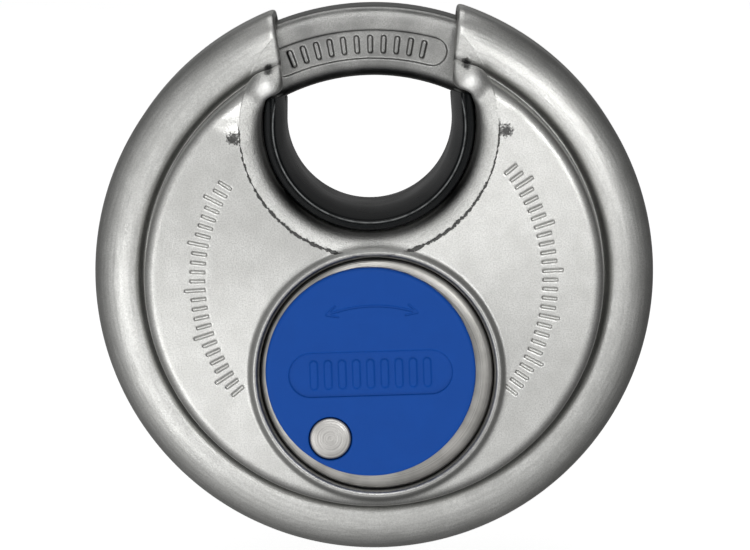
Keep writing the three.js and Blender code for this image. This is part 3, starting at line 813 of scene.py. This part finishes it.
def housing():
    radii = lines((6.2, 11.0, 0.4), (11.0, 12.4, 0.1), (12.4, 14.0, 0.3))
    turns = lines((-180, 180, 1.5))
    heights = lines((-5.9, 9.2, 0.45), (9.2, 10.8, 0.1))
    return contour((radii, turns, heights), about(0, LOCK_Z), housing_field, wrap=True)


piece("cylinder_body", housing(), NICKEL, "body", "cylinder_housing")


def guard_field(x, z, h):
    q, up = np.hypot(x, z - LOCK_Z), z - LOCK_Z
    body = smax(q - PLUG_R, np.abs(h - 9.9) - 0.6, 0.25)
    keyway = np.maximum(np.abs(x) - 0.85, np.abs(up + 1.0) - 3.6)
    # the warding that stands out of the keyway's sides
    wards = smin(np.hypot(x - 0.95, up - 0.4) - 0.55, np.hypot(x + 0.95, up + 1.9) - 0.55, 0.1)
    return smax(body, -smax(keyway, -wards, 0.1), 0.15)


def guard():
    across = lines((-6.7, -1.2, 0.22), (-1.2, 1.2, 0.1), (1.2, 6.7, 0.22))
    upright = lines((-16.7, -14.9, 0.22), (-14.9, -7.1, 0.12), (-7.1, -3.3, 0.22))
    return contour((across, upright, lines((9.15, 10.65, 0.15))), plain, guard_field)


piece("plug_guard_disc", guard(), HARD, "plug", "drill_guard")


# Keyway cover ----------------------------------------------------------------------------------

GRIP_Z = COVER[1] - 0.15
GRIP_HALF, GRIP_R, GRIP_DEPTH = 6.3, 2.35, 0.22
GRIP_RIB_PITCH, GRIP_RIBS = 1.5, 9
COUNTERSINK_R, COUNTERSINK_DEPTH = 2.32, 0.7
ARROW = (-0.3, -16.6)  # centre of the arrow's arc
ARROW_R = 14.2
ARROW_HALF = 20.0  # degrees either way


def grip_field(x, z, h):
    """A shallow round-ended thumb grip with upright ribs."""
    cx = COVER[0]
    grip = np.hypot(np.maximum(np.abs(x - cx) - GRIP_HALF, 0), z - GRIP_Z) - GRIP_R
    most = GRIP_RIBS // 2
    n = np.clip(np.round((x - cx) / GRIP_RIB_PITCH), -most, most)
    rib = np.hypot(x - cx - n * GRIP_RIB_PITCH, np.maximum(np.abs(z - GRIP_Z) - 1.15, 0)) - 0.38
    floor = COVER_FRONT - GRIP_DEPTH + 0.2 * step01(0.14, -0.14, rib)
    return np.maximum(grip, floor - h)


def arrow_field(x, z, h):
    """The curved arrow with two heads that says which way the cover turns."""
    bend = np.hypot(x - ARROW[0], z - ARROW[1])
    turn = np.degrees(np.arctan2(x - ARROW[0], z - ARROW[1]))
    past = np.radians(np.abs(turn) - ARROW_HALF) * ARROW_R
    stroke = np.maximum(np.abs(bend - ARROW_R) - 0.11, past)
    head = np.abs(np.abs(bend - ARROW_R) - 0.5 * np.maximum(-past, 0)) - 0.1
    head = np.maximum(head, np.maximum(past, -past - 1.25))
    return np.maximum(np.minimum(stroke, head), COVER_FRONT - 0.1 - h)


def cover_field(x, z, h):
    cx, cz, radius = COVER
    middle, half = (COVER_FRONT + COVER_REAR) / 2, (COVER_FRONT - COVER_REAR) / 2
    body = smax(np.hypot(x - cx, z - cz) - radius, np.abs(h - middle) - half, 0.42)
    body = smax(body, -grip_field(x, z, h), 0.12)
    body = smax(body, -arrow_field(x, z, h), 0.05)
    # the rivet's head lies in a countersink
    pin = np.hypot(x - RIVET[0], z - RIVET[1])
    countersink = np.maximum(pin - COUNTERSINK_R, COVER_FRONT - COUNTERSINK_DEPTH - h)
    body = smax(body, -countersink, 0.1)
    return smax(body, RIVET_R + GAP - pin, 0.1)


def cover():
    cx, cz, radius = COVER
    edge = radius + 0.15
    across = lines((cx - edge, cx + edge, 0.125))
    upright = lines((cz - edge, -12.3, 0.2), (-12.3, -7.0, 0.14), (-7.0, -4.6, 0.2),
                    (-4.6, -2.1, 0.08), (-2.1, cz + edge, 0.2))
    heights = lines((11.1, 11.7, 0.15), (11.7, 12.3, 0.15), (12.3, 12.54, 0.06), (12.54, 12.74, 0.1))
    return contour((across, upright, heights), plain, cover_field)


piece("keyway_cover_disc", cover(), BLUE, "cover", "keyway_cover")


def rivet():
    """A domed head with the rings that setting it has spun into it, on a plain shank."""
    low, top, rear = COVER_FRONT - 0.35, 12.72, 8.3
    head = []
    for r in np.linspace(0.05, 1.98, 34):
        dome = top - 0.1 * (r / 2.0) ** 4
        head.append((r, dome - 0.009 * (0.5 + 0.5 * math.cos(2 * math.pi * r / 0.62)) - 0.02))
    edge = spline([(2.07, 12.56), (2.16, 12.49), (2.2, 12.38), (2.2, low)], 4)
    shank = [(RIVET_R + 0.05, low), (RIVET_R, low - 0.05), (RIVET_R, rear + 0.1)]
    profile = [*head, *edge, *shank, (RIVET_R - 0.1, rear), (0.05, rear)]
    steps = 96
    turns = np.linspace(0, 2 * math.pi, steps, endpoint=False)
    points = [(RIVET[0] + r * math.sin(t), RIVET[1] + r * math.cos(t), h)
              for r, h in profile for t in turns]
    faces = [(i * steps + j, i * steps + (j + 1) % steps,
              (i + 1) * steps + (j + 1) % steps, (i + 1) * steps + j)
             for i in range(len(profile) - 1) for j in range(steps)]
    return np.array(points), np.array(faces)


piece("cover_rivet_head", rivet(), RIVET_STEEL, "body", "cover_rivet", merge=0.002)


# Carried-over CAD nodes ------------------------------------------------------------------------

FINISH = {
    "inner_frame": ZINC, "plug": BRASS, "driver_cam": HARD, "cam_clip": SPRING,
    "pin_cover_strip": BRASS, "wave_washer": SPRING,
    "key_pin": BRASS, "driver_pin": BRASS, "pin_spring": SPRING,
}
for node_name, node in frame["nodes"].items():
    finish = FINISH.get(node_name.rstrip("_0123456789"))  # the pins and springs are numbered
    if finish and not node.hide_render:
        node.data.materials.clear()
        node.data.materials.append(finish)


# Stage -----------------------------------------------------------------------------------------


def floor():
    """A pale sheet, lit from within so that it stays white, which shades and reflects nothing."""
    p = Paint("floor_paint", 0.0)
    colour = p.mix(p.noise(30, 3.0), rgb(0.86, 0.86, 0.86), rgb(0.90, 0.90, 0.90))
    p.set(Base_Color=colour, Roughness=0.6, Emission_Color=colour, Emission_Strength=0.72)
    bpy.ops.mesh.primitive_plane_add(size=8, location=(0, 0, FLOOR_Z * MM))
    plane = bpy.context.object
    plane.name = "studio_floor"
    plane.visible_glossy = False
    plane.visible_shadow = False
    plane.data.materials.append(p.material)


def towards(azimuth, elevation):
    """The direction from the padlock to a place. Azimuth 0 is in front, 90 to its right."""
    a, e = math.radians(azimuth), math.radians(elevation)
    return Vector((math.sin(a) * math.cos(e), -math.cos(a) * math.cos(e), math.sin(e)))


def area(name, azimuth, elevation, distance, width, height, power):
    """A soft box that looks at the middle of the padlock, with sizes in metres and power in watts."""
    back = towards(azimuth, elevation)
    data = bpy.data.lights.new(name, "AREA")
    data.shape, data.size, data.size_y, data.energy = "RECTANGLE", width, height, power
    light = bpy.data.objects.new(name, data)
    bpy.context.scene.collection.objects.link(light)
    light.location = Vector((0, MID_Y * MM, 0)) + back * distance
    light.rotation_mode = "QUATERNION"
    light.rotation_quaternion = (-back).to_track_quat("-Z", "Y")


# share of the way from front (0) to back (1), and how bright the dome is there
WORLD_LEVELS = ((0, 0.80), (0.06, 0.74), (0.16, 0.55), (0.3, 0.34), (0.5, 0.19), (0.75, 0.10), (1, 0.17))
WORLD_SIDES = (1.45, 0.65)  # strength on the left and on the right


def world():
    """A soft dome: bright in front, dark at the sides, a little lighter behind, stronger on the left."""
    w = bpy.data.worlds.new("studio")
    bpy.context.scene.world = w
    w.use_nodes = True
    tree = w.node_tree
    coord = tree.nodes.new("ShaderNodeTexCoord")
    split = tree.nodes.new("ShaderNodeSeparateXYZ")
    tree.links.new(coord.outputs["Generated"], split.inputs[0])
    depth = tree.nodes.new("ShaderNodeMapRange")
    depth.inputs["From Min"].default_value, depth.inputs["From Max"].default_value = -1.0, 1.0
    tree.links.new(split.outputs["Y"], depth.inputs["Value"])
    ramp = tree.nodes.new("ShaderNodeValToRGB")
    tree.links.new(depth.outputs[0], ramp.inputs[0])
    stops = ramp.color_ramp.elements
    for at, level in WORLD_LEVELS:
        stop = stops[0] if at == 0 else stops[-1] if at == 1 else stops.new(at)
        stop.color = rgb(level, level, level)
    tree.links.new(ramp.outputs[0], tree.nodes["Background"].inputs["Color"])
    side = tree.nodes.new("ShaderNodeMapRange")
    for name, value in zip(("From Min", "From Max", "To Min", "To Max"), (-1.0, 1.0, *WORLD_SIDES)):
        side.inputs[name].default_value = value
    tree.links.new(split.outputs["X"], side.inputs["Value"])
    tree.links.new(side.outputs[0], tree.nodes["Background"].inputs["Strength"])


def camera():
    """The photo's view: from the front, a little above, and tilted slightly clockwise."""
    azimuth, elevation, distance, roll = 0.4, 7.2, 0.450, 1.8
    back = towards(azimuth, elevation)
    data = bpy.data.cameras.new("camera")
    data.sensor_width, data.lens = 36, 199.3
    data.clip_start, data.clip_end = 0.01, 100
    cam = bpy.data.objects.new("camera", data)
    bpy.context.scene.collection.objects.link(cam)
    cam.location = Vector((0.00006, MID_Y * MM, -0.0007)) + back * distance
    cam.rotation_mode = "QUATERNION"
    spin = Quaternion((0, 0, 1), -math.radians(roll))
    cam.rotation_quaternion = (-back).to_track_quat("-Z", "Y") @ spin
    bpy.context.scene.camera = cam


floor()
world()
# the first two are what the spun steel answers with its bright upper right and lower left
area("key", 19, 9, distance=1.2, width=0.3, height=0.3, power=1.7)
area("low_left", -24, -14, distance=1.0, width=0.3, height=0.3, power=0.95)
area("top", 0, 30, distance=1.0, width=0.25, height=0.2, power=1.2)
area("over", 180, 80, distance=2.0, width=1.6, height=1.2, power=10)
camera()
bpy.context.scene.view_settings.view_transform = "Standard"
